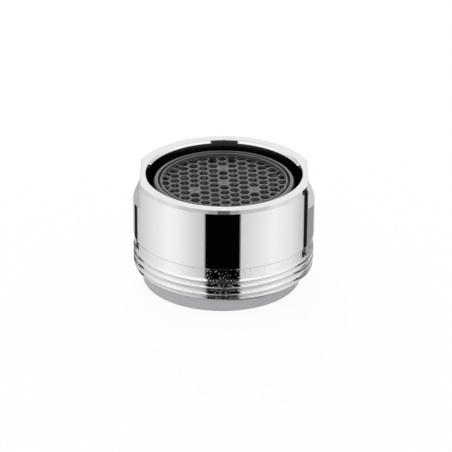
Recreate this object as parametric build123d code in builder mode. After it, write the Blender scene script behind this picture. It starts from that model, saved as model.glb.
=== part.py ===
from build123d import *
import os
from math import atan2, degrees, hypot, sqrt

# Tap aerator with an outside thread, standing on its washer with the outlet up.
# The origin is the middle of the washer's sealing plane, and +Z points to the outlet.
# All sizes are in millimetres.

# Housing
thread_diameter = 24.0  # M24 x 1 outside thread; the body is turned to the same diameter
thread_length = 3.3
thread_chamfer = 0.5
thread_wall = 1.2  # from the thread's crest in to the washer's counterbore
relief_length = 1.35
relief_depth = 0.2
body_length = 8.4
outlet_chamfer = 0.37
mouth_width = 0.2
mouth_depth = 0.38
shoulder_width = 0.62  # ledge inside the housing that carries the insert
flat_depth = 1.0  # leaves the two spanner flats 22 mm apart
flat_height = 2.87  # from the outlet face down to the ledge under each flat
ledge_drop = 0.7  # how far the ledge slopes down from the flat to the body

# Sealing washer
washer_thickness = 3.0
washer_width = 2.0
washer_proud = 2.1  # how far it stands out of the housing
washer_clearance = 0.3
washer_side_gap = 0.05  # it lies over to the -X side of its counterbore, and this is left there

# Insert sleeve
air_gap = 0.83  # ring-shaped way for the air, between the sleeve and the housing
sleeve_wall = 0.6
flange_thickness = 1.0
flange_clearance = 0.15
insert_recess = 0.95  # from the outlet face down to the sleeve's top
top_rounding = 0.42  # outer edge of the sleeve's top
lip_width = 0.25  # lip inside the sleeve that stops the honeycomb
lip_drop = 0.7  # from the sleeve's top down to the lip, which leaves a groove round the honeycomb's rim
lip_height = 0.5
seat_width = 0.25  # step at the inlet that carries the jet plate
window_count = 8
window_width = 3.6
window_height = 1.8
window_sill = 0.6
bead_height = 0.15  # snap bead that keeps the grids from falling back
bead_length = 0.4
bead_gap = 0.3  # from the windows up to the bead
fit_clearance = 0.05

# Honeycomb at the outlet
cell_pitch = 1.5
cell_wall = 0.34
cell_depth = 2.5
lattice_angle = 2.25
filled_step = 3  # cells from the middle one out to each of the three other filled ones
rim_wall = 0.25
rim_height = 0.45
rim_chamfer = 0.1
rim_drop = 0.05  # from the sleeve's top down to the rim's ridge

# Mixing grids
grid_thickness = 0.8
grid_rim_wall = 0.7
grid_bar = 0.5
grid_bar_spacing = 2.4

# Jet plate
jet_diameter = 1.0
jet_count = 14
jet_edge = 1.6  # from the strainer's groove in to the ring of jets

# Inlet strainer
strainer_clearance = 0.15
strainer_recess = 0.4  # from the sealing plane in to the strainer's face
strainer_face = 0.5
strainer_wall = 0.9
strainer_chamfer = 0.6
clip_width = 0.4
clip_depth = 0.4
mesh_pitch = 1.3
mesh_opening = 0.8

# Radii, from the outside in
outer_radius = thread_diameter / 2
counterbore_radius = outer_radius - thread_wall
washer_radius = counterbore_radius - washer_clearance
washer_shift = washer_clearance - washer_side_gap
washer_hole_radius = washer_radius - washer_width
flange_radius = counterbore_radius - flange_clearance
bore_radius = counterbore_radius - shoulder_width
sleeve_radius = bore_radius - air_gap
sleeve_bore_radius = sleeve_radius - sleeve_wall
seat_radius = sleeve_bore_radius + seat_width
lip_radius = sleeve_bore_radius - lip_width
stack_radius = sleeve_bore_radius - fit_clearance
spigot_radius = lip_radius - fit_clearance
field_radius = spigot_radius - rim_wall
strainer_radius = washer_hole_radius - washer_shift - strainer_clearance
strainer_hole_radius = strainer_radius - strainer_wall
clip_radius = strainer_hole_radius + clip_width

# Heights, from the sealing plane up to the outlet
seat_z = washer_thickness
shoulder_z = seat_z + flange_thickness
window_z = shoulder_z + window_sill
bead_z = window_z + window_height + bead_gap
stack_z = bead_z + bead_length
relief_z = washer_proud + thread_length
body_z = relief_z + relief_length
outlet_z = body_z + body_length
ledge_z = outlet_z - flat_height
sleeve_top_z = outlet_z - insert_recess
lip_top_z = sleeve_top_z - lip_drop
lip_z = lip_top_z - lip_height
rim_z = sleeve_top_z - rim_drop
field_z = rim_z - rim_height
honeycomb_z = field_z - cell_depth
grid_height = (honeycomb_z - stack_z) / 2

os.makedirs("parts", exist_ok=True)

# Housing: one turned piece, with the two flats and their sloping ledges milled at the outlet end
with BuildPart() as housing:
    with BuildSketch(Plane.XZ):
        with BuildLine():
            Polyline(
                (counterbore_radius, washer_proud),
                (outer_radius - thread_chamfer, washer_proud),
                (outer_radius, washer_proud + thread_chamfer),
                (outer_radius, relief_z),
                (outer_radius - relief_depth, relief_z),
                (outer_radius - relief_depth, body_z),
                (outer_radius, body_z),
                (outer_radius, outlet_z - outlet_chamfer),
                (outer_radius - outlet_chamfer, outlet_z),
                (bore_radius + mouth_width, outlet_z),
                (bore_radius, outlet_z - mouth_depth),
                (bore_radius, shoulder_z),
                (counterbore_radius, shoulder_z),
                close=True,
            )
        make_face()
    revolve(axis=Axis.Z)
    with BuildSketch(Plane.XZ):
        with BuildLine():
            Polyline(
                (outer_radius - flat_depth, outlet_z),
                (outer_radius - flat_depth, ledge_z),
                (outer_radius + flat_depth, ledge_z - 2 * ledge_drop),
                (outer_radius + flat_depth, outlet_z),
                close=True,
            )
        make_face()
        mirror(about=Plane.YZ)
    extrude(amount=outer_radius, both=True, mode=Mode.SUBTRACT)
housing.part.label = "housing"
export_step(housing.part, "parts/housing.step")

# Sealing washer: flat rubber ring under the insert's flange
with BuildPart() as sealing_washer:
    with BuildSketch():
        with Locations((-washer_shift, 0)):
            Circle(washer_radius)
            Circle(washer_hole_radius, mode=Mode.SUBTRACT)
    extrude(amount=washer_thickness)
sealing_washer.part.label = "sealing_washer"
export_step(sealing_washer.part, "parts/sealing_washer.step")

# Insert sleeve: flange on the housing's shoulder, air windows, snap bead, rounded top and inner lip
with BuildPart() as insert_sleeve:
    with BuildSketch(Plane.XZ):
        with BuildLine():
            Polyline(
                (seat_radius, seat_z),
                (flange_radius, seat_z),
                (flange_radius, shoulder_z),
                (sleeve_radius, shoulder_z),
                (sleeve_radius, sleeve_top_z),
                (sleeve_bore_radius, sleeve_top_z),
                (sleeve_bore_radius, lip_top_z),
                (lip_radius, lip_top_z),
                (lip_radius, lip_z),
                (sleeve_bore_radius, lip_z),
                (sleeve_bore_radius, stack_z),
                (sleeve_bore_radius - bead_height, stack_z),
                (sleeve_bore_radius, bead_z),
                (sleeve_bore_radius, shoulder_z),
                (seat_radius, shoulder_z),
                close=True,
            )
        make_face()
    revolve(axis=Axis.Z)
    top_edges = insert_sleeve.edges().filter_by(GeomType.CIRCLE).group_by(Axis.Z)[-1]
    fillet(top_edges.sort_by(SortBy.RADIUS)[-1], top_rounding)
    with BuildSketch(Plane.XY.offset(window_z)):
        with PolarLocations(sleeve_radius, window_count):
            Rectangle(4 * sleeve_wall, window_width)
    extrude(amount=window_height, mode=Mode.SUBTRACT)
insert_sleeve.part.label = "insert_sleeve"
export_step(insert_sleeve.part, "parts/insert_sleeve.step")

# Cells of the honeycomb, by column and row, with a flat of each cell towards +Y
cell_opening = cell_pitch - cell_wall
lattice_reach = int(2 * field_radius / cell_pitch)
filled_cells = {(0, 0), (0, filled_step), (-filled_step, 0), (filled_step, -filled_step)}
neighbour_steps = [(0, 1), (1, 0), (1, -1), (0, -1), (-1, 0), (-1, 1)]


def cell_centre(column, row):
    return column * cell_pitch * sqrt(3) / 2, (row + column / 2) * cell_pitch


def cell_distance(column, row):
    return hypot(*cell_centre(column, row))


lattice = [
    (column, row)
    for column in range(-lattice_reach, lattice_reach + 1)
    for row in range(-lattice_reach, lattice_reach + 1)
    if (column, row) not in filled_cells
]
open_cells = [cell for cell in lattice if cell_distance(*cell) <= field_radius]
edge_slivers = [
    cell for cell in lattice if field_radius < cell_distance(*cell) < field_radius + cell_opening / 2
]

# Where the rim leaves only a sliver of a cell, it runs together with the cell inside it
sliver_gates = []
for column, row in edge_slivers:
    inner_cell = min(
        ((column + right, row + up) for right, up in neighbour_steps),
        key=lambda cell: cell_distance(*cell),
    )
    x, y = cell_centre(column, row)
    inner_x, inner_y = cell_centre(*inner_cell)
    gate_angle = degrees(atan2(inner_y - y, inner_x - x))
    sliver_gates.append(Location(((x + inner_x) / 2, (y + inner_y) / 2, 0), (0, 0, gate_angle)))

# Honeycomb outlet: rim that seats under the sleeve's lip, around a field of open cells
with BuildPart() as honeycomb_outlet:
    with BuildSketch(Plane.XZ):
        with BuildLine():
            Polyline(
                (0, honeycomb_z),
                (stack_radius, honeycomb_z),
                (stack_radius, lip_z),
                (spigot_radius, lip_z),
                (spigot_radius, rim_z - rim_chamfer),
                (spigot_radius - rim_chamfer, rim_z),
                (field_radius, rim_z),
                (field_radius, field_z),
                (0, field_z),
                close=True,
            )
        make_face()
    revolve(axis=Axis.Z)
    with BuildSketch(Plane.XY.offset(honeycomb_z).rotated((0, 0, lattice_angle))):
        with Locations(*[cell_centre(*cell) for cell in open_cells + edge_slivers]):
            RegularPolygon(cell_opening / 2, 6, major_radius=False)
        with Locations(*sliver_gates):
            Rectangle(2 * cell_wall, cell_opening / sqrt(3))
        Circle(field_radius, mode=Mode.INTERSECT)
    extrude(amount=cell_depth, mode=Mode.SUBTRACT)
honeycomb_outlet.part.label = "honeycomb_outlet"
export_step(honeycomb_outlet.part, "parts/honeycomb_outlet.step")

# Mixing grids: two alike, stacked on the honeycomb, with their bars crossed
grid_hole_radius = stack_radius - grid_rim_wall
grid_bar_count = 2 * int((grid_hole_radius - grid_bar) / grid_bar_spacing) + 1
grid_places = {"inlet_mixing_grid": (stack_z, 0), "outlet_mixing_grid": (stack_z + grid_height, 90)}
for grid_name, (grid_z, grid_turn) in grid_places.items():
    with BuildPart() as mixing_grid:
        with BuildSketch(Plane.XY.offset(grid_z)):
            Circle(stack_radius)
            Circle(grid_hole_radius, mode=Mode.SUBTRACT)
        extrude(amount=grid_height)
        with BuildSketch(Plane.XY.offset(grid_z).rotated((0, 0, grid_turn))):
            with GridLocations(0, grid_bar_spacing, 1, grid_bar_count):
                Rectangle(2 * stack_radius, grid_bar)
            Circle(grid_hole_radius + grid_rim_wall / 2, mode=Mode.INTERSECT)
        extrude(amount=grid_thickness)
    mixing_grid.part.label = grid_name
    export_step(mixing_grid.part, f"parts/{grid_name}.step")

# Jet plate: flush in the flange, with a ring of jets and a groove for the strainer's clip
with BuildPart() as jet_plate:
    with BuildSketch(Plane.XY.offset(seat_z)):
        Circle(seat_radius - fit_clearance)
    extrude(amount=flange_thickness)
    with BuildSketch(Plane.XY.offset(seat_z)):
        Circle(clip_radius + fit_clearance)
        Circle(strainer_hole_radius - fit_clearance, mode=Mode.SUBTRACT)
    extrude(amount=clip_depth + fit_clearance, mode=Mode.SUBTRACT)
    with BuildSketch(Plane.XY.offset(seat_z)):
        with PolarLocations(strainer_hole_radius - jet_edge, jet_count):
            Circle(jet_diameter / 2)
    extrude(amount=flange_thickness, mode=Mode.SUBTRACT)
jet_plate.part.label = "jet_plate"
export_step(jet_plate.part, "parts/jet_plate.step")

# Inlet strainer: cup with a perforated face, whose clip sits in the jet plate's groove
mesh_reach = int(strainer_hole_radius / mesh_pitch)
mesh_centres = [
    (column * mesh_pitch, row * mesh_pitch)
    for column in range(-mesh_reach, mesh_reach + 1)
    for row in range(-mesh_reach, mesh_reach + 1)
    if hypot(column, row) * mesh_pitch < strainer_hole_radius - mesh_opening
]
with BuildPart() as inlet_strainer:
    with BuildSketch(Plane.XZ):
        with BuildLine():
            Polyline(
                (0, strainer_recess),
                (strainer_radius - strainer_chamfer, strainer_recess),
                (strainer_radius, strainer_recess + strainer_chamfer),
                (strainer_radius, seat_z),
                (clip_radius, seat_z),
                (clip_radius, seat_z + clip_depth),
                (strainer_hole_radius, seat_z + clip_depth),
                (strainer_hole_radius, strainer_recess + strainer_face),
                (0, strainer_recess + strainer_face),
                close=True,
            )
        make_face()
    revolve(axis=Axis.Z)
    with BuildSketch(Plane.XY.offset(strainer_recess)):
        with Locations(*mesh_centres):
            Rectangle(mesh_opening, mesh_opening)
    extrude(amount=strainer_face, mode=Mode.SUBTRACT)
inlet_strainer.part.label = "inlet_strainer"
export_step(inlet_strainer.part, "parts/inlet_strainer.step")
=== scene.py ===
"""Looks of a tap aerator: chromed housing, rubber washer and moulded insert on a white studio stage."""

import itertools
import math

import bmesh
import bpy
from bpy.props import FloatProperty, FloatVectorProperty, IntProperty, PointerProperty
from bpy.types import Operator, Panel, PropertyGroup
from mathutils import Matrix, Vector
from mathutils.geometry import delaunay_2d_cdt


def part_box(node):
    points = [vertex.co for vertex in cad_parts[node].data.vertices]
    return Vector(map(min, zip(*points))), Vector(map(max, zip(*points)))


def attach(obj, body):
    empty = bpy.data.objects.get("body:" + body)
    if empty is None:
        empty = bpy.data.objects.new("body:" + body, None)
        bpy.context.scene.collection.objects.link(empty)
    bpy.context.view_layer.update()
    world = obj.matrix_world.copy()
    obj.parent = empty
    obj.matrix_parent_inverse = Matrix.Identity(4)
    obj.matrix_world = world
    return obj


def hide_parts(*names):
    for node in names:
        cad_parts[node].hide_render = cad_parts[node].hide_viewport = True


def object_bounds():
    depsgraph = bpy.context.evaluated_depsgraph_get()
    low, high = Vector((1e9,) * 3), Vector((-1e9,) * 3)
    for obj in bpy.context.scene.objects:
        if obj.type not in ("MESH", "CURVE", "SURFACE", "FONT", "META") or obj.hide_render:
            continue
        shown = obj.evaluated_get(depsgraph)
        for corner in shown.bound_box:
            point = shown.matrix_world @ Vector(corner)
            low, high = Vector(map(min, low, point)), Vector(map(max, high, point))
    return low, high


bl_info = {
    "name": "Tap aerator",
    "version": (1, 0, 0),
    "blender": (4, 5, 0),
    "location": "View3D > Sidebar > Aerator",
    "description": "Dresses the solids of a tap aerator and sets up its studio stage",
    "category": "Object",
}

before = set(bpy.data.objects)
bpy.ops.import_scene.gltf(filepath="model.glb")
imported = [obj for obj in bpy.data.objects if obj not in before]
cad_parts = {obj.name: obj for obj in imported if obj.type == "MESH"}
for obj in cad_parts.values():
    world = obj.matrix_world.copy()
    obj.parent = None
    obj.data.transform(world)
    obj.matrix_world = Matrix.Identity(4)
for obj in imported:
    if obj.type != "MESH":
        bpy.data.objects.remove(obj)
cad_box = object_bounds()

MM = 0.001

housing_low, housing_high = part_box("housing")
washer_low, washer_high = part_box("sealing_washer")
sleeve_low, sleeve_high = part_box("insert_sleeve")
honeycomb_low, honeycomb_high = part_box("honeycomb_outlet")


# Kinds of setting

def length(name, description, millimetres):
    """A size or place, held in metres."""
    return FloatProperty(
        name=name, description=description, default=millimetres * MM, unit="LENGTH", precision=6
    )


def angle(name, description, degrees):
    """An angle, held in radians."""
    return FloatProperty(
        name=name, description=description, default=math.radians(degrees), subtype="ANGLE"
    )


def share(name, description, value):
    """A share from 0 to 1."""
    return FloatProperty(
        name=name, description=description, default=value, min=0, max=1, subtype="FACTOR"
    )


def count(name, description, value):
    """A whole number of things."""
    return IntProperty(name=name, description=description, default=value, min=1)


def colour(name, description, value):
    """A linear colour."""
    return FloatVectorProperty(
        name=name, description=description, default=value, min=0, max=1, subtype="COLOR"
    )


class AeratorHousingSettings(PropertyGroup):
    thread_pitch: length("Thread pitch", "Rise of the outside thread in one turn", 1.0)
    thread_depth: length("Thread depth", "From the plated thread's crest down to its root", 0.15)
    thread_length: length("Thread length", "From the inlet end to the relief band", 3.3)
    thread_lead: length("Thread lead", "Length over which the crest falls to the relief band", 0.5)
    root_place: share("Root place", "Place of the groove's root on the way up to the next crest", 0.33)
    crest_height: length("Crest height", "Height of a thread crest at the front", 3.14)
    inlet_chamfer: length("Inlet chamfer", "Chamfer across the thread at the inlet end", 0.5)
    relief_length: length("Relief length", "Height of the plain band over the thread", 1.35)
    relief_depth: length("Relief depth", "From the body down to the plain band", 0.2)
    flats_width: length("Width across flats", "From one spanner flat to the other", 22.0)
    flats_height: length("Height of flats", "From the outlet face down to the ledge", 2.87)
    ledge_drop: length("Ledge drop", "How far the ledge slopes down from the flat to the body", 0.7)
    outlet_chamfer: length("Outlet chamfer", "Chamfer round the outlet face", 0.37)
    mouth_width: length("Mouth width", "Slope from the outlet face into the bore, across", 0.2)
    mouth_depth: length("Mouth depth", "Slope from the outlet face into the bore, down", 0.38)
    bore_radius: length("Bore radius", "Radius of the outlet bore", 10.18)
    counterbore_radius: length("Counterbore radius", "Radius of the washer's seat", 10.8)
    shoulder_height: length("Shoulder height", "Height of the ledge that carries the insert", 4.0)
    edge_break: length("Edge break", "Small chamfer on the turned edges", 0.06)
    body_break: length("Body break", "Height of the soft lower edge of the body", 0.14)
    body_turn_in: length("Body turn-in", "How far the body's lower edge turns in", 0.03)
    chrome: colour("Chrome", "Colour of the chrome plate", (0.93, 0.93, 0.935))
    # The bore's plate is far darker than the chrome outside, in the recess behind the insert.
    bore_plate: colour("Bore plate", "Colour of the thin, dark plate in the bore", (0.2, 0.195, 0.19))
    pitting: length("Pitting", "Depth of the rough plating on thread and relief", 0.022)
    milling: length("Milling", "Depth of the tool marks on the ledges under the flats", 0.01)


class AeratorWasherSettings(PropertyGroup):
    width: length("Width", "From the washer's edge in to its hole", 2.0)
    rounding: length("Rounding", "Rounding of the washer's edges", 0.12)
    rubber: colour("Rubber", "Colour of the rubber", (0.56, 0.56, 0.585))


class AeratorInsertSettings(PropertyGroup):
    sleeve_radius: length("Sleeve radius", "Outer radius of the sleeve in the air gap", 9.35)
    sleeve_bore: length("Sleeve bore", "Inner radius of the sleeve", 8.75)
    seat_radius: length("Seat radius", "Radius of the jet plate's seat", 9.0)
    flange_thickness: length("Flange thickness", "Thickness of the sleeve's flange", 1.0)
    top_rounding: length("Top rounding", "Rounding of the outer edge of the sleeve's top", 0.42)
    soft_edge: length("Soft edge", "Rounding of the other moulded edges", 0.04)
    lip_radius: length("Lip radius", "Inner radius of the lip that stops the honeycomb", 8.5)
    lip_drop: length("Lip drop", "From the sleeve's top down to the lip", 0.7)
    lip_height: length("Lip height", "Height of the lip", 0.5)
    bead_bottom: length("Bead bottom", "Height where the snap bead starts", 6.7)
    bead_length: length("Bead length", "Height of the snap bead", 0.4)
    bead_height: length("Bead height", "How far the snap bead stands in", 0.15)
    window_count: count("Windows", "Air windows round the sleeve", 8)
    window_width: length("Window width", "Width of an air window", 3.6)
    window_height: length("Window height", "Height of an air window", 1.8)
    window_bottom: length("Window bottom", "Height of the windows' sill", 4.6)
    cell_pitch: length("Cell pitch", "From one honeycomb cell to the next", 1.5)
    cell_wall: length("Cell wall", "Thickness of the honeycomb's walls", 0.34)
    cell_rounding: length("Cell rounding", "Rounding of the walls' edges", 0.15)
    cell_draft: length("Cell draft", "How much a cell narrows towards the inlet, to each side", 0.02)
    lattice_angle: angle("Lattice angle", "Turn of the honeycomb in the housing", 2.25)
    filled_step: count("Filled step", "Cells from the middle one out to each other filled one", 3)
    gate_radius: length("Gate radius", "Radius of the mould gate's scar in a filled cell", 0.45)
    gate_depth: length("Gate depth", "Depth of the gate's scar", 0.06)
    spigot_radius: length("Spigot radius", "Radius of the rim inside the lip", 8.45)
    field_radius: length("Field radius", "Radius of the field of cells", 8.2)
    rim_height: length("Rim height", "Height of the rim over the cells", 0.45)
    rim_chamfer: length("Rim chamfer", "Chamfer outside the rim's ridge", 0.1)
    sleeve: colour("Sleeve plastic", "Colour of the sleeve and the honeycomb's rim", (0.09, 0.09, 0.092))
    plastic: colour("Dark plastic", "Colour of the other dark pieces", (0.063, 0.063, 0.064))
    wall_glow: length("Wall glow", "How far light goes through the honeycomb's thin walls", 1.5)
    strainer: colour("Strainer plastic", "Colour of the inlet strainer", (0.72, 0.72, 0.69))


class AeratorStageSettings(PropertyGroup):
    elevation: angle("Elevation", "Camera's angle over the floor", 26.07)
    roll: angle("Roll", "Camera's turn about its own line of sight", 0.412)
    distance: length("Distance", "From the camera to the middle of the object", 408.8)
    lens: FloatProperty(
        name="Lens", description="Camera's focal length in millimetres", default=245.3, min=1
    )
    middle: length("Middle", "Height that the camera looks at", 8.0)
    aim_right: length("Aim right", "Camera's parallel move to the right", 0.30)
    aim_up: length("Aim up", "Camera's parallel move up", -0.633)
    floor_size: length("Floor size", "Side of the pale floor", 1200.0)
    floor_drop: length("Floor drop", "How far the floor lies under the washer", 0.01)
    floor_shade: share("Floor shade", "How much of the shadow the camera sees on the floor", 0.08)
    floor: colour("Floor", "Colour of the floor's paint", (0.92, 0.92, 0.92))
    ambient: FloatProperty(
        name="Ambient", description="Level of the soft light all round", default=0.9, min=0
    )
    key_power: FloatProperty(
        name="Key power", description="Power of the large soft lamp", default=0.6, subtype="POWER"
    )
    key_place: FloatVectorProperty(
        name="Key place", description="Place of the large soft lamp", default=(-0.06, 0.38, 0.17),
        subtype="TRANSLATION",
    )
    key_size: length("Key size", "Width of the large soft lamp", 260.0)


# Meshes

HARD_ANGLE = math.radians(35)
WELD = 0.0002 * MM
ROUNDING_STEPS = 4


def rounded_outline(corners, closed):
    """Points of an outline, from corners given as (radius, height, rounding)."""
    outline = []
    last = len(corners) - 1
    for index, (radius, height, rounding) in enumerate(corners):
        corner = Vector((radius, height))
        if rounding == 0 or (not closed and index in (0, last)):
            outline.append(corner)
            continue
        before = (Vector(corners[index - 1][:2]) - corner).normalized()
        after = (Vector(corners[(index + 1) % len(corners)][:2]) - corner).normalized()
        half = before.angle(after) / 2
        reach = rounding / math.tan(half)
        centre = corner + (before + after).normalized() * rounding / math.sin(half)
        start = corner + before * reach - centre
        end = corner + after * reach - centre
        turn = math.atan2(start.cross(end), start.dot(end))
        margin = reach / ROUNDING_STEPS
        outline.append(corner + before * (reach + margin))
        for step in range(ROUNDING_STEPS + 1):
            outline.append(centre + Matrix.Rotation(turn * step / ROUNDING_STEPS, 2) @ start)
        outline.append(corner + after * (reach + margin))
    return outline


def circle_angles(columns):
    """Even angles once round."""
    return [math.tau * column / columns for column in range(columns)]


def ring(angles, radii, height, centre=(0, 0)):
    """Points once round, each at its own angle and radius."""
    return [
        Vector((centre[0] + radius * math.cos(turn), centre[1] + radius * math.sin(turn), height))
        for turn, radius in zip(angles, radii)
    ]


def skin_rows(shell, rows, closed, turn_shift=0):
    """Skin rows of points that each run once round.

    Closed also joins the last row to the first. With a turn shift the rows are a helix, and each one
    goes on after a turn as the row that lies so many rows higher.
    """
    grid = [[shell.verts.new(point) for point in row] for row in rows]
    last = len(grid) - 1
    columns = len(grid[0])
    for index in range(last + closed):
        above = (index + 1) % len(grid)
        for column in range(columns - 1):
            shell.faces.new((grid[index][column], grid[index][column + 1],
                             grid[above][column + 1], grid[above][column]))
        low_end = grid[min(index + turn_shift, last)][0]
        high_end = grid[min(above + turn_shift, last)][0]
        if low_end is not high_end:
            shell.faces.new((grid[index][-1], low_end, high_end, grid[above][-1]))
        else:
            shell.faces.new((grid[index][-1], low_end, grid[above][-1]))
    return grid


def lathe(shell, outline, columns, closed, centre=(0, 0)):
    """Turn an outline once round."""
    angles = circle_angles(columns)
    rows = [ring(angles, [point.x] * columns, point.y, centre) for point in outline]
    return skin_rows(shell, rows, closed)


def mesh_from_shell(shell, name, hard_angle=HARD_ANGLE):
    """Finish a shell as a mesh, with doubled points joined and smooth between hard edges."""
    bmesh.ops.remove_doubles(shell, verts=shell.verts, dist=WELD)
    bmesh.ops.recalc_face_normals(shell, faces=shell.faces)
    mesh = bpy.data.meshes.new(name)
    shell.to_mesh(mesh)
    shell.free()
    smooth_mesh(mesh, hard_angle)
    return mesh


def smooth_mesh(mesh, hard_angle=HARD_ANGLE):
    """Shade a mesh smooth between its hard edges."""
    mesh.polygons.foreach_set("use_smooth", [True] * len(mesh.polygons))
    mesh.set_sharp_from_angle(angle=hard_angle)


def place_piece(mesh, finishes, node):
    """Put a finished mesh in the scene in place of a solid."""
    piece = bpy.data.objects.new(mesh.name, mesh)
    bpy.context.scene.collection.objects.link(piece)
    for finish in finishes:
        mesh.materials.append(finish)
    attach(piece, "root")
    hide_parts(node)


# Housing

FLAT_COLUMNS = 40
ROUND_COLUMNS = 120
TURN_ROWS = 24
HOUSING_HARD_ANGLE = math.radians(18)
LEDGE_FINISH = 1
BORE_FINISH = 2
LEDGE_RISE = 0.5  # least upward part of a ledge's normal
RUN_OUT = 0.5  # share of the pitch over which the thread's groove runs out


def smooth_step(value):
    """Ease from 0 to 1."""
    value = min(max(value, 0), 1)
    return value * value * (3 - 2 * value)


def turns_from_front(turn):
    """Turns from the front, which is at -Y, round towards +X."""
    return (turn + math.pi / 2) / math.tau


def thread_radius(sizes, turn, height):
    """Radius of the threaded skin, with its chamfer and the run-out of its groove at the relief band."""
    radius = housing_high.x
    inlet = housing_low.z
    relief = inlet + sizes.thread_length
    place = (height - sizes.crest_height) / sizes.thread_pitch - turns_from_front(turn)
    over_crest = place - math.floor(place)
    # The root's place comes to one half, where the sine is largest
    skewed = over_crest ** (math.log(0.5) / math.log(sizes.root_place))
    groove = math.sin(math.pi * skewed)
    root_height = height + sizes.thread_pitch * (sizes.root_place - over_crest)
    fade = RUN_OUT * sizes.thread_pitch
    run_out = smooth_step((relief + fade / 2 - root_height) / fade)
    threaded = radius - sizes.thread_depth * groove * run_out
    chamfered = radius - sizes.inlet_chamfer + height - inlet
    falling = radius - sizes.relief_depth * smooth_step((height - relief) / sizes.thread_lead + 1)
    return min(threaded, chamfered, falling)


def thread_rows(sizes, angles):
    """Rows of points that follow the helix, cut off flat at the inlet end and at the relief band."""
    bottom = housing_low.z
    top = bottom + sizes.thread_length
    first_turn = turns_from_front(angles[0])
    lowest = math.floor((bottom - sizes.crest_height) / sizes.thread_pitch - first_turn) - 1
    highest = math.ceil((top - sizes.crest_height) / sizes.thread_pitch - first_turn)
    rows = []
    for step in range(lowest * TURN_ROWS, highest * TURN_ROWS + 1):
        row = []
        for turn in angles:
            turns = step / TURN_ROWS + turns_from_front(turn)
            height = min(max(sizes.crest_height + sizes.thread_pitch * turns, bottom), top)
            radius = thread_radius(sizes, turn, height)
            row.append(Vector((radius * math.cos(turn), radius * math.sin(turn), height)))
        rows.append(row)
    return rows


def column_angles(radius, half_width):
    """Angles once round, with a column on each edge of the two flats that cut this radius."""
    edge = math.acos(half_width / radius)
    angles = []
    for side in (0, math.pi):
        angles += [side - edge + 2 * edge * step / FLAT_COLUMNS for step in range(FLAT_COLUMNS)]
        start = side + edge
        angles += [start + (math.pi - 2 * edge) * step / ROUND_COLUMNS for step in range(ROUND_COLUMNS)]
    return angles


def clipped_radii(angles, radius, half_width):
    """Radii of a round row that the two flats cut."""
    return [min(radius, half_width / max(abs(math.cos(turn)), half_width / radius)) for turn in angles]


def is_flat_column(column):
    """Whether a column lies inside one of the flats, off its edges."""
    return 0 < column % (FLAT_COLUMNS + ROUND_COLUMNS) < FLAT_COLUMNS


def build_housing(sizes):
    """One skin: thread, relief band, body, ledges, flats, outlet face, bore and washer seat."""
    radius = housing_high.x
    inlet, outlet = housing_low.z, housing_high.z
    half_width = sizes.flats_width / 2
    ledge = outlet - sizes.flats_height
    body = inlet + sizes.thread_length + sizes.relief_length
    band = radius - sizes.relief_depth
    mouth = outlet - sizes.mouth_depth
    mouth_radius = sizes.bore_radius + sizes.mouth_width
    edge_break = sizes.edge_break
    angles = column_angles(radius, half_width)

    def turned(at_radius, height):
        return ring(angles, [at_radius] * len(angles), height)

    def clipped(at_radius, height, at_width, flat_height):
        row_angles = column_angles(at_radius, at_width)
        row = ring(row_angles, clipped_radii(row_angles, at_radius, at_width), height)
        for column, point in enumerate(row):
            if is_flat_column(column):
                point.z = flat_height
        return row

    # The ledge's two rows part at the flats, where the lower one follows the slope
    under_ledge = turned(radius, ledge)
    for point in under_ledge:
        past_flat = max(abs(point.x) - half_width, 0)
        point.z -= edge_break + past_flat * sizes.ledge_drop / (radius - half_width)
    over_ledge = ring(angles, clipped_radii(angles, radius, half_width), ledge)

    threaded = thread_rows(sizes, angles)
    upper_rows = [
        threaded[-1],
        turned(band, body),
        turned(radius - sizes.body_turn_in - edge_break, body),
        turned(radius - sizes.body_turn_in, body + edge_break),
        turned(radius, body + sizes.body_break),
        turned(radius, body + sizes.body_break + edge_break),
        under_ledge,
        over_ledge,
        clipped(radius, outlet - sizes.outlet_chamfer, half_width, outlet - edge_break),
        clipped(radius - sizes.outlet_chamfer, outlet, half_width - edge_break, outlet),
        turned(mouth_radius + edge_break, outlet),
        turned(mouth_radius - edge_break * sizes.mouth_width / sizes.mouth_depth, outlet - edge_break),
        turned(sizes.bore_radius, mouth),
        turned(sizes.bore_radius, sizes.shoulder_height),
        turned(sizes.counterbore_radius, sizes.shoulder_height),
        turned(sizes.counterbore_radius, inlet + edge_break),
        turned(sizes.counterbore_radius + edge_break, inlet),
        threaded[0],
    ]
    shell = bmesh.new()
    skin_rows(shell, threaded, closed=False, turn_shift=TURN_ROWS)
    skin_rows(shell, upper_rows, closed=False)
    shell.normal_update()
    for face in shell.faces:
        centre = face.calc_center_median()
        if centre.z < mouth and centre.to_2d().length < sizes.counterbore_radius:
            face.material_index = BORE_FINISH
        elif ledge - sizes.ledge_drop < centre.z < ledge and abs(face.normal.z) > LEDGE_RISE:
            face.material_index = LEDGE_FINISH
    return mesh_from_shell(shell, "chromed_housing", HOUSING_HARD_ANGLE)


# Washer

WASHER_COLUMNS = 160


def build_washer(sizes):
    """Flat ring with soft edges, where its solid lies."""
    radius = (washer_high.x - washer_low.x) / 2
    centre = ((washer_high.x + washer_low.x) / 2, (washer_high.y + washer_low.y) / 2)
    hole = radius - sizes.width
    corners = [
        (hole, washer_low.z, sizes.rounding),
        (radius, washer_low.z, sizes.rounding),
        (radius, washer_high.z, sizes.rounding),
        (hole, washer_high.z, sizes.rounding),
    ]
    shell = bmesh.new()
    lathe(shell, rounded_outline(corners, closed=True), WASHER_COLUMNS, closed=True, centre=centre)
    return mesh_from_shell(shell, "rubber_washer")


# Insert

SLEEVE_COLUMNS = 180
INSIDE_FINISH = 1
CUTTER_WALLS = 4  # depth of the window cutter in sleeve walls


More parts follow.
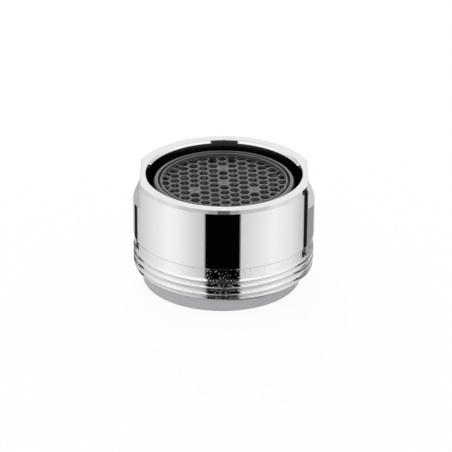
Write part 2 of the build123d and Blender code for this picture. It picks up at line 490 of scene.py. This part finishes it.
def build_sleeve(sizes):
    """Sleeve with flange, snap bead and rounded lip, and its air windows cut out."""
    seat, top = sleeve_low.z, sleeve_high.z
    flange = sleeve_high.x
    flange_top = seat + sizes.flange_thickness
    bead_top = sizes.bead_bottom + sizes.bead_length
    lip_top = top - sizes.lip_drop
    lip_bottom = lip_top - sizes.lip_height
    soft = sizes.soft_edge
    corners = [
        (sizes.seat_radius, seat, 0),
        (flange, seat, soft),
        (flange, flange_top, soft),
        (sizes.sleeve_radius, flange_top, 0),
        (sizes.sleeve_radius, top, sizes.top_rounding),
        (sizes.sleeve_bore, top, soft),
        (sizes.sleeve_bore, lip_top, 0),
        (sizes.lip_radius, lip_top, soft),
        (sizes.lip_radius, lip_bottom, 0),
        (sizes.sleeve_bore, lip_bottom, 0),
        (sizes.sleeve_bore, bead_top, 0),
        (sizes.sleeve_bore - sizes.bead_height, bead_top, 0),
        (sizes.sleeve_bore, sizes.bead_bottom, 0),
        (sizes.sleeve_bore, flange_top, 0),
        (sizes.seat_radius, flange_top, 0),
    ]
    shell = bmesh.new()
    lathe(shell, rounded_outline(corners, closed=True), SLEEVE_COLUMNS, closed=True)
    whole = mesh_from_shell(shell, "whole_sleeve")

    cutter = bmesh.new()
    depth = CUTTER_WALLS * (sizes.sleeve_radius - sizes.sleeve_bore)
    middle = sizes.window_bottom + sizes.window_height / 2
    block = Matrix.Diagonal((depth, sizes.window_width, sizes.window_height, 1))
    for turn in circle_angles(sizes.window_count):
        place = Matrix.Rotation(turn, 4, "Z") @ Matrix.Translation((sizes.sleeve_radius, 0, middle))
        bmesh.ops.create_cube(cutter, size=1, matrix=place @ block)
    cutter_mesh = mesh_from_shell(cutter, "window_cutter")
    mesh = cut_mesh(whole, cutter_mesh)
    mesh.name = "moulded_sleeve"
    smooth_mesh(mesh)
    for face in mesh.polygons:
        if face.center.to_2d().length < sizes.sleeve_bore and face.center.z > flange_top:
            face.material_index = INSIDE_FINISH
    return mesh


def cut_mesh(mesh, cutter_mesh):
    """A new mesh: the first one with the second cut out of it."""
    body = bpy.data.objects.new("cut_body", mesh)
    cutter = bpy.data.objects.new("cut_tool", cutter_mesh)
    for part in (body, cutter):
        bpy.context.scene.collection.objects.link(part)
    cut = body.modifiers.new("cut", "BOOLEAN")
    cut.operation = "DIFFERENCE"
    cut.solver = "EXACT"
    cut.object = cutter
    evaluated = body.evaluated_get(bpy.context.evaluated_depsgraph_get())
    result = bpy.data.meshes.new_from_object(evaluated)
    for part in (body, cutter):
        bpy.data.objects.remove(part)
    return result


class CellLattice:
    """Places of the open cells in the honeycomb, and the sides where an edge sliver joins a cell."""

    STEPS = ((0, 1), (1, 0), (1, -1), (0, -1), (-1, 0), (-1, 1))
    SIDES = len(STEPS)
    SIDE_POINTS = 6
    ANCHOR_INSET = 0.8  # from the limit circle in to a cell's anchor, in apothems
    SAME_WAY = 0.9  # least cosine between a side and the sliver behind it

    def __init__(self, sizes):
        self.pitch = sizes.cell_pitch
        self.opening = sizes.cell_pitch - sizes.cell_wall
        self.field = sizes.field_radius
        step = sizes.filled_step
        self.filled = ((0, 0), (0, step), (-step, 0), (step, -step))
        most = int(2 * self.field / self.pitch)
        reach = range(-most, most + 1)
        lattice = [cell for cell in itertools.product(reach, reach) if cell not in self.filled]
        self.gates = {cell: [] for cell in lattice if self.centre(cell).length <= self.field}
        for cell in lattice:
            if self.field < self.centre(cell).length < self.field + self.opening / 2:
                around = [(cell[0] + right, cell[1] + up) for right, up in self.STEPS]
                inner = min(around, key=lambda near: self.centre(near).length)
                self.gates[inner].append((self.centre(cell) - self.centre(inner)).normalized())

    def centre(self, cell):
        column, row = cell
        return Vector((column * self.pitch * math.sqrt(3) / 2, (row + column / 2) * self.pitch))

    def outline(self, cell, offset, limit):
        """Points round a cell whose sides stand off by offset, held inside the limit circle."""
        centre = self.centre(cell)
        apothem = self.opening / 2
        anchor_limit = limit - self.ANCHOR_INSET * apothem
        anchor = centre * min(1, anchor_limit / max(centre.length, apothem))
        corner_reach = (apothem + offset) / math.cos(math.pi / self.SIDES)
        corners = [
            centre + corner_reach * Vector((math.cos(turn), math.sin(turn)))
            for turn in circle_angles(self.SIDES)
        ]
        points = []
        for corner, beside in zip(corners, corners[1:] + corners[:1]):
            across = ((corner + beside) / 2 - centre).normalized()
            gated = any(across.dot(gate) > self.SAME_WAY for gate in self.gates[cell])
            for step in range(self.SIDE_POINTS):
                point = corner.lerp(beside, step / self.SIDE_POINTS)
                free = gated and step > 0
                points.append(self.held(anchor, point, limit, free))
        return [
            (before + 2 * point + after) / 4
            for before, point, after in zip(points[-1:] + points[:-1], points, points[1:] + points[:1])
        ]

    @staticmethod
    def held(anchor, point, limit, free):
        """The point, moved on its line from the anchor to the limit circle if it is past it or free."""
        if point.length <= limit and not free:
            return point
        way = (point - anchor).normalized()
        along = anchor.dot(way)
        return anchor + way * (math.sqrt(along * along - anchor.length_squared + limit * limit) - along)


FILL_INSIDE = 1  # the triangulation's mode that leaves out what lies past the rim
FILL_TOLERANCE = 1e-6


def cap_with_holes(shell, rim, holes, height):
    """Flat face inside a rim, with the holes left open."""
    points = []
    loops = []
    for loop in [rim] + holes:
        loops.append(range(len(points), len(points) + len(loop)))
        points += [Vector((point.x / MM, point.y / MM)) for point in loop]
    places, _, triangles, _, _, owners = delaunay_2d_cdt(points, [], loops, FILL_INSIDE, FILL_TOLERANCE)
    verts = [shell.verts.new((place.x * MM, place.y * MM, height)) for place in places]
    for triangle, owner in zip(triangles, owners):
        if owner == [0]:
            shell.faces.new([verts[index] for index in triangle])


# Section of a gate scar from its edge in, in shares of its radius and its depth
GATE_COLUMNS = 24
GATE_OUTLINE = ((1, 0), (0.8, -0.7), (0.6, -1), (0.42, -0.3), (0.25, 0))


def build_gate_scar(shell, sizes, centre, height):
    """Shallow dish with a stub in its middle, where the mould was filled. Returns its edge."""
    angles = circle_angles(GATE_COLUMNS)
    rows = [
        ring(angles, [across * sizes.gate_radius] * GATE_COLUMNS, height + up * sizes.gate_depth, centre)
        for across, up in GATE_OUTLINE
    ]
    shell.faces.new(skin_rows(shell, rows, closed=False)[-1])
    return rows[0]


RIM_COLUMNS = 180
CELL_GAP = 0.02 * MM
BEVEL_STEPS = 5
RIM_FINISH = 1


def build_honeycomb(sizes):
    """Rim with its ridge around a field of hexagonal cells with softened walls."""
    bottom, ridge = honeycomb_low.z, honeycomb_high.z
    stack = honeycomb_high.x
    field_top = ridge - sizes.rim_height
    lip = sleeve_high.z - sizes.lip_drop - sizes.lip_height
    soft = sizes.soft_edge
    corners = [
        (sizes.field_radius, field_top, 0),
        (sizes.field_radius, ridge, soft),
        (sizes.spigot_radius - sizes.rim_chamfer, ridge, soft),
        (sizes.spigot_radius, ridge - sizes.rim_chamfer, 0),
        (sizes.spigot_radius, lip, 0),
        (stack, lip, 0),
        (stack, bottom, 0),
    ]
    shell = bmesh.new()
    rim = lathe(shell, rounded_outline(corners, closed=False), RIM_COLUMNS, closed=False)
    for face in shell.faces:
        face.material_index = RIM_FINISH

    lattice = CellLattice(sizes)
    limit = sizes.field_radius - CELL_GAP
    turned = Matrix.Rotation(sizes.lattice_angle, 2)
    rounding = sizes.cell_rounding
    levels = []
    for step in range(BEVEL_STEPS + 1):
        turn = math.pi / 2 * step / BEVEL_STEPS
        levels.append((rounding * (1 - math.sin(turn)), field_top - rounding * (1 - math.cos(turn))))
    levels.append((-sizes.cell_draft, bottom))
    top_loops = []
    for cell in lattice.filled:
        top_loops.append(build_gate_scar(shell, sizes, turned @ lattice.centre(cell), field_top))
    bottom_loops = []
    for cell in lattice.gates:
        rows = []
        for offset, height in levels:
            outline = [turned @ point for point in lattice.outline(cell, offset, limit)]
            rows.append([Vector((point.x, point.y, height)) for point in outline])
        skin_rows(shell, rows, closed=False)
        top_loops.append(rows[0])
        bottom_loops.append(rows[-1])
    cap_with_holes(shell, [vert.co for vert in rim[0]], top_loops, field_top)
    cap_with_holes(shell, [vert.co for vert in rim[-1]], bottom_loops, bottom)
    return mesh_from_shell(shell, "moulded_honeycomb")


# Materials

NOISE_DETAIL = 3

CHROME_GRAIN = {
    "Fine Scale": 6000, "Coarse Scale": 350,
    "Speck Scale": 5600, "Speck Start": 0.31, "Speck Size": 0.61,
}
CHROME_SHADES = (0.97, 1.03)
CHROME_ROUGHNESS = (0.02, 0.05)

LEDGE_GRAIN = {"Fine Scale": 3000, "Coarse Scale": 400}
LEDGE_SHADES = (0.92, 1)
LEDGE_ROUGHNESS = (0.3, 0.45)

BORE_GRAIN = {"Fine Scale": 5000, "Coarse Scale": 400}
BORE_SHADES = (0.85, 1.15)
BORE_ROUGHNESS = (0.1, 0.2)
BORE_BUMP = 0.002 * MM

RUBBER_GRAIN = {"Fine Scale": 6000, "Coarse Scale": 500}
RUBBER_SHADES = (0.9, 1.1)
RUBBER_ROUGHNESS = (0.6, 0.85)
RUBBER_BUMP = 0.006 * MM

PLASTIC_GRAIN = {"Fine Scale": 7000, "Coarse Scale": 700}
PLASTIC_SHADES = (0.85, 1.15)
PLASTIC_ROUGHER = 0.12
PLASTIC_BUMP = 0.003 * MM
PLASTIC_IOR = 1.55

SLEEVE_GLOSS = 0.1
SLEEVE_SKIN = 1.0
HONEYCOMB_GLOSS = 0.2
HONEYCOMB_SKIN = 0.7
MATTE_GLOSS = 0.6
MATTE_SKIN = 0.0
STRAINER_GLOSS = 0.4
STRAINER_SKIN = 0.1


def wire(tree, source, target):
    tree.links.new(source, target)


def spread(tree, source, start, end, low, high):
    """A value that runs from low to high while its source runs from start to end."""
    node = tree.nodes.new("ShaderNodeMapRange")
    for socket, value in (("From Min", start), ("From Max", end), ("To Min", low), ("To Max", high)):
        node.inputs[socket].default_value = value
    wire(tree, source, node.inputs["Value"])
    return node.outputs["Result"]


def worked_out(tree, operation, *values):
    """The result of an operation on values, each a socket or a number."""
    node = tree.nodes.new("ShaderNodeMath")
    node.operation = operation
    for socket, value in zip(node.inputs, values):
        if isinstance(value, bpy.types.NodeSocket):
            wire(tree, value, socket)
        else:
            socket.default_value = value
    return node.outputs["Value"]


def fine_grain_group():
    """Shared effect: unevenness of a surface, as a mask, as a height and as sparse specks."""
    name = "fine_grain"
    if name in bpy.data.node_groups:
        return bpy.data.node_groups[name]
    tree = bpy.data.node_groups.new(name, "ShaderNodeTree")
    inputs = {
        "Fine Scale": 5000, "Coarse Scale": 400, "Coarse Share": 0.3,
        "Speck Scale": 3300, "Speck Start": 0.4, "Speck Size": 0.5,
    }
    for label, value in inputs.items():
        socket = tree.interface.new_socket(label, in_out="INPUT", socket_type="NodeSocketFloat")
        socket.default_value = value
    for label in ("Mask", "Height", "Specks"):
        tree.interface.new_socket(label, in_out="OUTPUT", socket_type="NodeSocketFloat")
    entry = tree.nodes.new("NodeGroupInput")
    leave = tree.nodes.new("NodeGroupOutput")
    place = tree.nodes.new("ShaderNodeTexCoord")
    fine = tree.nodes.new("ShaderNodeTexNoise")
    coarse = tree.nodes.new("ShaderNodeTexNoise")
    for noise in (fine, coarse):
        noise.inputs["Detail"].default_value = NOISE_DETAIL
    blend = tree.nodes.new("ShaderNodeMix")
    spots = tree.nodes.new("ShaderNodeTexVoronoi")
    size = tree.nodes.new("ShaderNodeMapRange")
    specks = tree.nodes.new("ShaderNodeMapRange")
    specks.interpolation_type = "SMOOTHSTEP"
    specks.inputs["From Max"].default_value = 0
    for texture, scale in ((fine, "Fine Scale"), (coarse, "Coarse Scale"), (spots, "Speck Scale")):
        wire(tree, place.outputs["Object"], texture.inputs["Vector"])
        wire(tree, entry.outputs[scale], texture.inputs["Scale"])
    wire(tree, entry.outputs["Coarse Share"], blend.inputs["Factor"])
    wire(tree, fine.outputs["Fac"], blend.inputs["A"])
    wire(tree, coarse.outputs["Fac"], blend.inputs["B"])
    wire(tree, spots.outputs["Color"], size.inputs["Value"])
    wire(tree, entry.outputs["Speck Start"], size.inputs["From Min"])
    wire(tree, entry.outputs["Speck Size"], size.inputs["To Max"])
    wire(tree, spots.outputs["Distance"], specks.inputs["Value"])
    wire(tree, size.outputs["Result"], specks.inputs["From Min"])
    wire(tree, blend.outputs["Result"], leave.inputs["Mask"])
    wire(tree, fine.outputs["Fac"], leave.inputs["Height"])
    wire(tree, specks.outputs["Result"], leave.inputs["Specks"])
    return tree


def new_surface(name, shade, shades, roughness, grain_values):
    """A material whose colour and roughness run between two levels with the shared grain."""
    material = bpy.data.materials.new(name)
    material.use_nodes = True
    tree = material.node_tree
    shader = tree.nodes["Principled BSDF"]
    grain = tree.nodes.new("ShaderNodeGroup")
    grain.node_tree = fine_grain_group()
    for socket, value in grain_values.items():
        grain.inputs[socket].default_value = value
    blend = tree.nodes.new("ShaderNodeMix")
    blend.data_type = "RGBA"
    for socket, factor in zip(("A", "B"), shades):
        blend.inputs[socket].default_value = (*(channel * factor for channel in shade), 1)
    wire(tree, grain.outputs["Mask"], blend.inputs["Factor"])
    wire(tree, blend.outputs["Result"], shader.inputs["Base Color"])
    wire(tree, spread(tree, grain.outputs["Mask"], 0, 1, *roughness), shader.inputs["Roughness"])
    return material, tree, shader, grain


def raise_surface(tree, height, distance, target):
    """Feed a height into a shader's normal as bump."""
    bump = tree.nodes.new("ShaderNodeBump")
    bump.inputs["Distance"].default_value = distance
    wire(tree, height, bump.inputs["Height"])
    wire(tree, bump.outputs["Normal"], target)


def chrome_surface(sizes):
    """Polished chrome plate, pitted where the thread and the relief band were cut."""
    material, tree, shader, grain = new_surface(
        "chrome_plate", sizes.chrome, CHROME_SHADES, CHROME_ROUGHNESS, CHROME_GRAIN
    )
    shader.inputs["Metallic"].default_value = 1
    place = tree.nodes.new("ShaderNodeTexCoord")
    split = tree.nodes.new("ShaderNodeSeparateXYZ")
    wire(tree, place.outputs["Object"], split.inputs["Vector"])
    body = housing_low.z + sizes.thread_length + sizes.relief_length
    under_body = spread(tree, split.outputs["Z"], body, body + sizes.body_break, 1, 0)
    pits = worked_out(tree, "MULTIPLY", grain.outputs["Specks"], under_body)
    raise_surface(tree, pits, sizes.pitting, shader.inputs["Normal"])
    return material


def ledge_surface(sizes):
    """Chrome over the marks of the milling cutter."""
    material, tree, shader, grain = new_surface(
        "milled_ledge", sizes.chrome, LEDGE_SHADES, LEDGE_ROUGHNESS, LEDGE_GRAIN
    )
    shader.inputs["Metallic"].default_value = 1
    raise_surface(tree, grain.outputs["Height"], sizes.milling, shader.inputs["Normal"])
    return material


def bore_surface(sizes):
    """Dull plate inside the bore, far darker than the chrome outside."""
    material, tree, shader, grain = new_surface(
        "dull_bore", sizes.bore_plate, BORE_SHADES, BORE_ROUGHNESS, BORE_GRAIN
    )
    shader.inputs["Metallic"].default_value = 1
    raise_surface(tree, grain.outputs["Height"], BORE_BUMP, shader.inputs["Normal"])
    return material


def rubber_surface(sizes):
    """Matte moulded rubber with a fine skin."""
    material, tree, shader, grain = new_surface(
        "washer_rubber", sizes.rubber, RUBBER_SHADES, RUBBER_ROUGHNESS, RUBBER_GRAIN
    )
    raise_surface(tree, grain.outputs["Height"], RUBBER_BUMP, shader.inputs["Normal"])
    return material


def moulded_surface(name, shade, gloss, skin, glow=0):
    """Moulded plastic, made once.

    Gloss is the roughness of its smoothest skin, skin how much that skin shines, and glow how far
    light goes in.
    """
    if name in bpy.data.materials:
        return bpy.data.materials[name]
    material, tree, shader, grain = new_surface(
        name, shade, PLASTIC_SHADES, (gloss, gloss + PLASTIC_ROUGHER), PLASTIC_GRAIN
    )
    shader.inputs["IOR"].default_value = PLASTIC_IOR
    shader.inputs["Coat Weight"].default_value = skin
    shader.inputs["Coat Roughness"].default_value = gloss
    if glow:
        shader.inputs["Subsurface Weight"].default_value = 1
        shader.inputs["Subsurface Radius"].default_value = (1, 1, 1)
        shader.inputs["Subsurface Scale"].default_value = glow
    raise_surface(tree, grain.outputs["Height"], PLASTIC_BUMP, shader.inputs["Normal"])
    return material


def sleeve_plastic(sizes):
    return moulded_surface("glossy_sleeve", sizes.sleeve, SLEEVE_GLOSS, SLEEVE_SKIN)


def sleeve_inside(sizes):
    return moulded_surface("matte_sleeve", sizes.sleeve, MATTE_GLOSS, MATTE_SKIN)


def honeycomb_plastic(sizes):
    return moulded_surface(
        "satin_honeycomb", sizes.plastic, HONEYCOMB_GLOSS, HONEYCOMB_SKIN, sizes.wall_glow
    )


def strainer_plastic(sizes):
    return moulded_surface("strainer_plastic", sizes.strainer, STRAINER_GLOSS, STRAINER_SKIN)


# Stage

# What polished metal sees round the studio: rows one over the other, each with its brightness by
# compass angle, from the front towards +X
GROUND_ROW = (
    (-180, 0.2), (-150, 0.4), (-100, 0.55), (-40, 0.5), (-31, 0.35), (-27, 0.03), (25, 0.03),
    (29, 0.35), (38, 0.5), (100, 0.55), (145, 0.5), (150, 0.1), (165, 0.1), (180, 0.2),
)
LOW_ROW = (
    (-180, 0.59), (-159.5, 0.59), (-158, 0.015), (-144, 0.015), (-142.5, 0.58), (-100, 0.82),
    (-75, 0.94), (-62, 0.92), (-24.2, 0.58), (-23.4, 0.001), (20.9, 0.001), (21.7, 0.67), (66, 0.94),
    (95, 0.82), (122, 0.57), (123.5, 0.01), (132.5, 0.01), (134, 0.32), (161, 0.32), (164, 0.58),
    (180, 0.59),
)
HORIZON_ROW = (
    (-180, 0.75), (-170, 0.72), (-164, 0.5), (-145, 0.48), (-100, 0.8), (-75, 1.0), (-40, 0.98),
    (-22, 0.9), (-20, 0.02), (20, 0.02), (22, 0.9), (40, 0.98), (75, 1.0), (100, 0.76), (121, 0.65),
    (136, 0.6), (164, 0.62), (170, 0.75), (180, 0.75),
)
MIDDLE_ROW = (
    (-180, 0.88), (-170, 0.86), (-164, 0.5), (-145, 0.48), (-100, 0.8), (-75, 1.0), (-22, 1.0),
    (-20, 0.03), (20, 0.03), (22, 1.0), (75, 1.0), (100, 0.8), (121, 0.65), (122, 0.02), (135, 0.02),
    (136, 0.8), (164, 0.8), (170, 0.86), (180, 0.88),
)
UPPER_ROW = (
    (-180, 0.98), (-130, 0.9), (-100, 0.7), (-75, 0.9), (-60, 0.98), (-26, 0.98), (-23, 0.4),
    (-16, 0.15), (-10, 0.08), (10, 0.08), (16, 0.15), (23, 0.4), (26, 0.98), (60, 0.98), (75, 0.9),
    (100, 0.7), (130, 0.9), (180, 0.98),
)
HIGH_ROW = (
    (-180, 0.98), (-130, 0.8), (-100, 0.62), (-60, 0.58), (-31, 0.5), (-29, 0.36), (-13, 0.34),
    (-11, 0.12), (11, 0.12), (13, 0.34), (29, 0.36), (31, 0.5), (60, 0.6), (100, 0.65), (130, 0.8),
    (180, 0.98),
)

# Sines of the angles over the floor where each next row starts to show and where it shows alone
STUDIO_CHANGES = (
    (-0.82, -0.6, LOW_ROW),
    (-0.14, -0.02, HORIZON_ROW),
    (0.08, 0.22, MIDDLE_ROW),
    (0.56, 0.64, UPPER_ROW),
    (0.72, 0.8, HIGH_ROW),
)


def compass_ramp(tree, around, row):
    """Brightness of a studio row, from a place once round that runs from 0 to 1."""
    node = tree.nodes.new("ShaderNodeValToRGB")
    elements = node.color_ramp.elements
    while len(elements) < len(row):
        elements.new(0.5)
    for element, (degrees, level) in zip(elements, row):
        element.position = (degrees + 180) / 360
        element.color = (level, level, level, 1)
    wire(tree, around, node.inputs["Fac"])
    return node.outputs["Color"]


def build_studio(sizes):
    """World: white to the camera, a studio to polished metal, soft light to the rest."""
    world = bpy.data.worlds.new("studio")
    bpy.context.scene.world = world
    world.use_nodes = True
    tree = world.node_tree
    tree.nodes.clear()
    place = tree.nodes.new("ShaderNodeTexCoord")
    split = tree.nodes.new("ShaderNodeSeparateXYZ")
    wire(tree, place.outputs["Generated"], split.inputs["Vector"])
    forward = worked_out(tree, "MULTIPLY", split.outputs["Y"], -1)
    compass = worked_out(tree, "ARCTAN2", split.outputs["X"], forward)
    around = spread(tree, compass, -math.pi, math.pi, 0, 1)
    seen = compass_ramp(tree, around, GROUND_ROW)
    for start, end, row in STUDIO_CHANGES:
        blend = tree.nodes.new("ShaderNodeMix")
        blend.data_type = "RGBA"
        wire(tree, spread(tree, split.outputs["Z"], start, end, 0, 1), blend.inputs["Factor"])
        wire(tree, seen, blend.inputs["A"])
        wire(tree, compass_ramp(tree, around, row), blend.inputs["B"])
        seen = blend.outputs["Result"]

    path = tree.nodes.new("ShaderNodeLightPath")
    glossy, clear = path.outputs["Is Glossy Ray"], path.outputs["Is Transmission Ray"]
    mirrored = worked_out(tree, "MAXIMUM", glossy, clear)
    soft = tree.nodes.new("ShaderNodeBackground")
    soft.inputs["Strength"].default_value = sizes.ambient
    studio = tree.nodes.new("ShaderNodeBackground")
    wire(tree, seen, studio.inputs["Color"])
    white = tree.nodes.new("ShaderNodeBackground")
    for plain in (soft, white):
        plain.inputs["Color"].default_value = (1, 1, 1, 1)
    lit = tree.nodes.new("ShaderNodeMixShader")
    shown = tree.nodes.new("ShaderNodeMixShader")
    leave = tree.nodes.new("ShaderNodeOutputWorld")
    wire(tree, mirrored, lit.inputs["Fac"])
    wire(tree, soft.outputs["Background"], lit.inputs[1])
    wire(tree, studio.outputs["Background"], lit.inputs[2])
    wire(tree, path.outputs["Is Camera Ray"], shown.inputs["Fac"])
    wire(tree, lit.outputs["Shader"], shown.inputs[1])
    wire(tree, white.outputs["Background"], shown.inputs[2])
    wire(tree, shown.outputs["Shader"], leave.inputs["Surface"])


def floor_paint(sizes, hole):
    """White paint that shows the camera a faint shadow, and all of it in the washer's hole."""
    material = bpy.data.materials.new("floor_white")
    material.use_nodes = True
    tree = material.node_tree
    tree.nodes.clear()
    paint = tree.nodes.new("ShaderNodeBsdfDiffuse")
    paint.inputs["Color"].default_value = (*sizes.floor, 1)
    white = tree.nodes.new("ShaderNodeEmission")
    path = tree.nodes.new("ShaderNodeLightPath")
    place = tree.nodes.new("ShaderNodeTexCoord")
    reach = tree.nodes.new("ShaderNodeVectorMath")
    reach.operation = "LENGTH"
    wire(tree, place.outputs["Object"], reach.inputs[0])
    outside = worked_out(tree, "GREATER_THAN", reach.outputs["Value"], hole)
    faded = worked_out(tree, "MULTIPLY", outside, 1 - sizes.floor_shade)
    amount = worked_out(tree, "MULTIPLY", path.outputs["Is Camera Ray"], faded)
    blend = tree.nodes.new("ShaderNodeMixShader")
    leave = tree.nodes.new("ShaderNodeOutputMaterial")
    wire(tree, amount, blend.inputs["Fac"])
    wire(tree, paint.outputs["BSDF"], blend.inputs[1])
    wire(tree, white.outputs["Emission"], blend.inputs[2])
    wire(tree, blend.outputs["Shader"], leave.inputs["Surface"])
    return material


def build_floor(sizes):
    """Pale floor just under the washer."""
    shell = bmesh.new()
    bmesh.ops.create_grid(shell, x_segments=1, y_segments=1, size=sizes.floor_size / 2)
    mesh = bpy.data.meshes.new("floor")
    shell.to_mesh(mesh)
    shell.free()
    hole = washer_high.x - bpy.context.scene.aerator_washer.width
    mesh.materials.append(floor_paint(sizes, hole))
    floor = bpy.data.objects.new("floor", mesh)
    floor.location.z = cad_box[0][2] - sizes.floor_drop
    bpy.context.scene.collection.objects.link(floor)
    floor.visible_glossy = False


def build_key_lamp(sizes):
    """Large soft lamp low behind the object, left out of reflections."""
    data = bpy.data.lights.new("key_lamp", "AREA")
    data.shape = "DISK"
    data.size = sizes.key_size
    data.energy = sizes.key_power
    lamp = bpy.data.objects.new("key_lamp", data)
    lamp.location = sizes.key_place
    lamp.rotation_euler = (-Vector(sizes.key_place)).to_track_quat("-Z", "Y").to_euler()
    lamp.visible_glossy = False
    bpy.context.scene.collection.objects.link(lamp)


def build_camera(sizes):
    """Long lens in front of the object, looking down on it."""
    data = bpy.data.cameras.new("camera")
    data.lens = sizes.lens
    camera = bpy.data.objects.new("camera", data)
    bpy.context.scene.collection.objects.link(camera)
    sine, cosine = math.sin(sizes.elevation), math.cos(sizes.elevation)
    backward = Vector((0, -cosine, sine))
    level_up = Vector((0, sine, cosine))
    level_right = Vector((1, 0, 0))
    right = level_right * math.cos(sizes.roll) + level_up * math.sin(sizes.roll)
    up = level_up * math.cos(sizes.roll) - level_right * math.sin(sizes.roll)
    place = Vector((0, 0, sizes.middle)) + backward * sizes.distance
    place += right * sizes.aim_right + up * sizes.aim_up
    turned = Matrix((right, up, backward)).transposed().to_4x4()
    camera.matrix_world = Matrix.Translation(place) @ turned
    bpy.context.scene.camera = camera


# Operators

class AERATOR_OT_stage(Operator):
    """Set up the camera, the floor and the studio light"""
    bl_idname = "aerator.stage"
    bl_label = "Stage"

    def execute(self, context):
        sizes = context.scene.aerator_stage
        context.scene.view_settings.view_transform = "Standard"
        build_camera(sizes)
        build_floor(sizes)
        build_studio(sizes)
        build_key_lamp(sizes)
        return {"FINISHED"}


class AERATOR_OT_housing(Operator):
    """Build the chromed housing with its thread and spanner flats"""
    bl_idname = "aerator.housing"
    bl_label = "Chromed housing"

    def execute(self, context):
        sizes = context.scene.aerator_housing
        finishes = [chrome_surface(sizes), ledge_surface(sizes), bore_surface(sizes)]
        place_piece(build_housing(sizes), finishes, "housing")
        return {"FINISHED"}


class AERATOR_OT_washer(Operator):
    """Build the rubber sealing washer"""
    bl_idname = "aerator.washer"
    bl_label = "Rubber washer"

    def execute(self, context):
        sizes = context.scene.aerator_washer
        place_piece(build_washer(sizes), [rubber_surface(sizes)], "sealing_washer")
        return {"FINISHED"}


class AERATOR_OT_sleeve(Operator):
    """Build the insert's sleeve with its lip and air windows"""
    bl_idname = "aerator.sleeve"
    bl_label = "Insert sleeve"

    def execute(self, context):
        sizes = context.scene.aerator_insert
        finishes = [sleeve_plastic(sizes), sleeve_inside(sizes)]
        place_piece(build_sleeve(sizes), finishes, "insert_sleeve")
        return {"FINISHED"}


class AERATOR_OT_honeycomb(Operator):
    """Build the honeycomb at the outlet"""
    bl_idname = "aerator.honeycomb"
    bl_label = "Honeycomb outlet"

    def execute(self, context):
        sizes = context.scene.aerator_insert
        finishes = [honeycomb_plastic(sizes), sleeve_plastic(sizes)]
        place_piece(build_honeycomb(sizes), finishes, "honeycomb_outlet")
        return {"FINISHED"}


class AERATOR_OT_inner_pieces(Operator):
    """Give the grids, the jet plate and the strainer their finish"""
    bl_idname = "aerator.inner_pieces"
    bl_label = "Inner pieces"

    def execute(self, context):
        sizes = context.scene.aerator_insert
        plastic = honeycomb_plastic(sizes)
        finishes = {
            "inlet_mixing_grid": plastic,
            "outlet_mixing_grid": plastic,
            "jet_plate": plastic,
            "inlet_strainer": strainer_plastic(sizes),
        }
        for node, material in finishes.items():
            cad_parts[node].material_slots[0].material = material
        return {"FINISHED"}


class AERATOR_PT_sidebar(Panel):
    bl_idname = "AERATOR_PT_sidebar"
    bl_label = "Tap aerator"
    bl_space_type = "VIEW_3D"
    bl_region_type = "UI"
    bl_category = "Aerator"

    def draw(self, context):
        for group in SETTINGS:
            settings = getattr(context.scene, group)
            box = self.layout.box()
            for name in settings.__annotations__:
                box.prop(settings, name)
        for operator in OPERATORS:
            self.layout.operator(operator.bl_idname)


SETTINGS = {
    "aerator_stage": AeratorStageSettings,
    "aerator_housing": AeratorHousingSettings,
    "aerator_washer": AeratorWasherSettings,
    "aerator_insert": AeratorInsertSettings,
}
OPERATORS = (
    AERATOR_OT_stage,
    AERATOR_OT_housing,
    AERATOR_OT_washer,
    AERATOR_OT_sleeve,
    AERATOR_OT_honeycomb,
    AERATOR_OT_inner_pieces,
)
CLASSES = (*SETTINGS.values(), *OPERATORS, AERATOR_PT_sidebar)


def register():
    for cls in CLASSES:
        bpy.utils.register_class(cls)
    for name, group in SETTINGS.items():
        setattr(bpy.types.Scene, name, PointerProperty(type=group))


def unregister():
    for name in SETTINGS:
        delattr(bpy.types.Scene, name)
    for cls in reversed(CLASSES):
        bpy.utils.unregister_class(cls)


def main():
    register()
    bpy.ops.aerator.stage()
    bpy.ops.aerator.housing()
    bpy.ops.aerator.washer()
    bpy.ops.aerator.sleeve()
    bpy.ops.aerator.honeycomb()
    bpy.ops.aerator.inner_pieces()


if __name__ == "__main__":
    main()
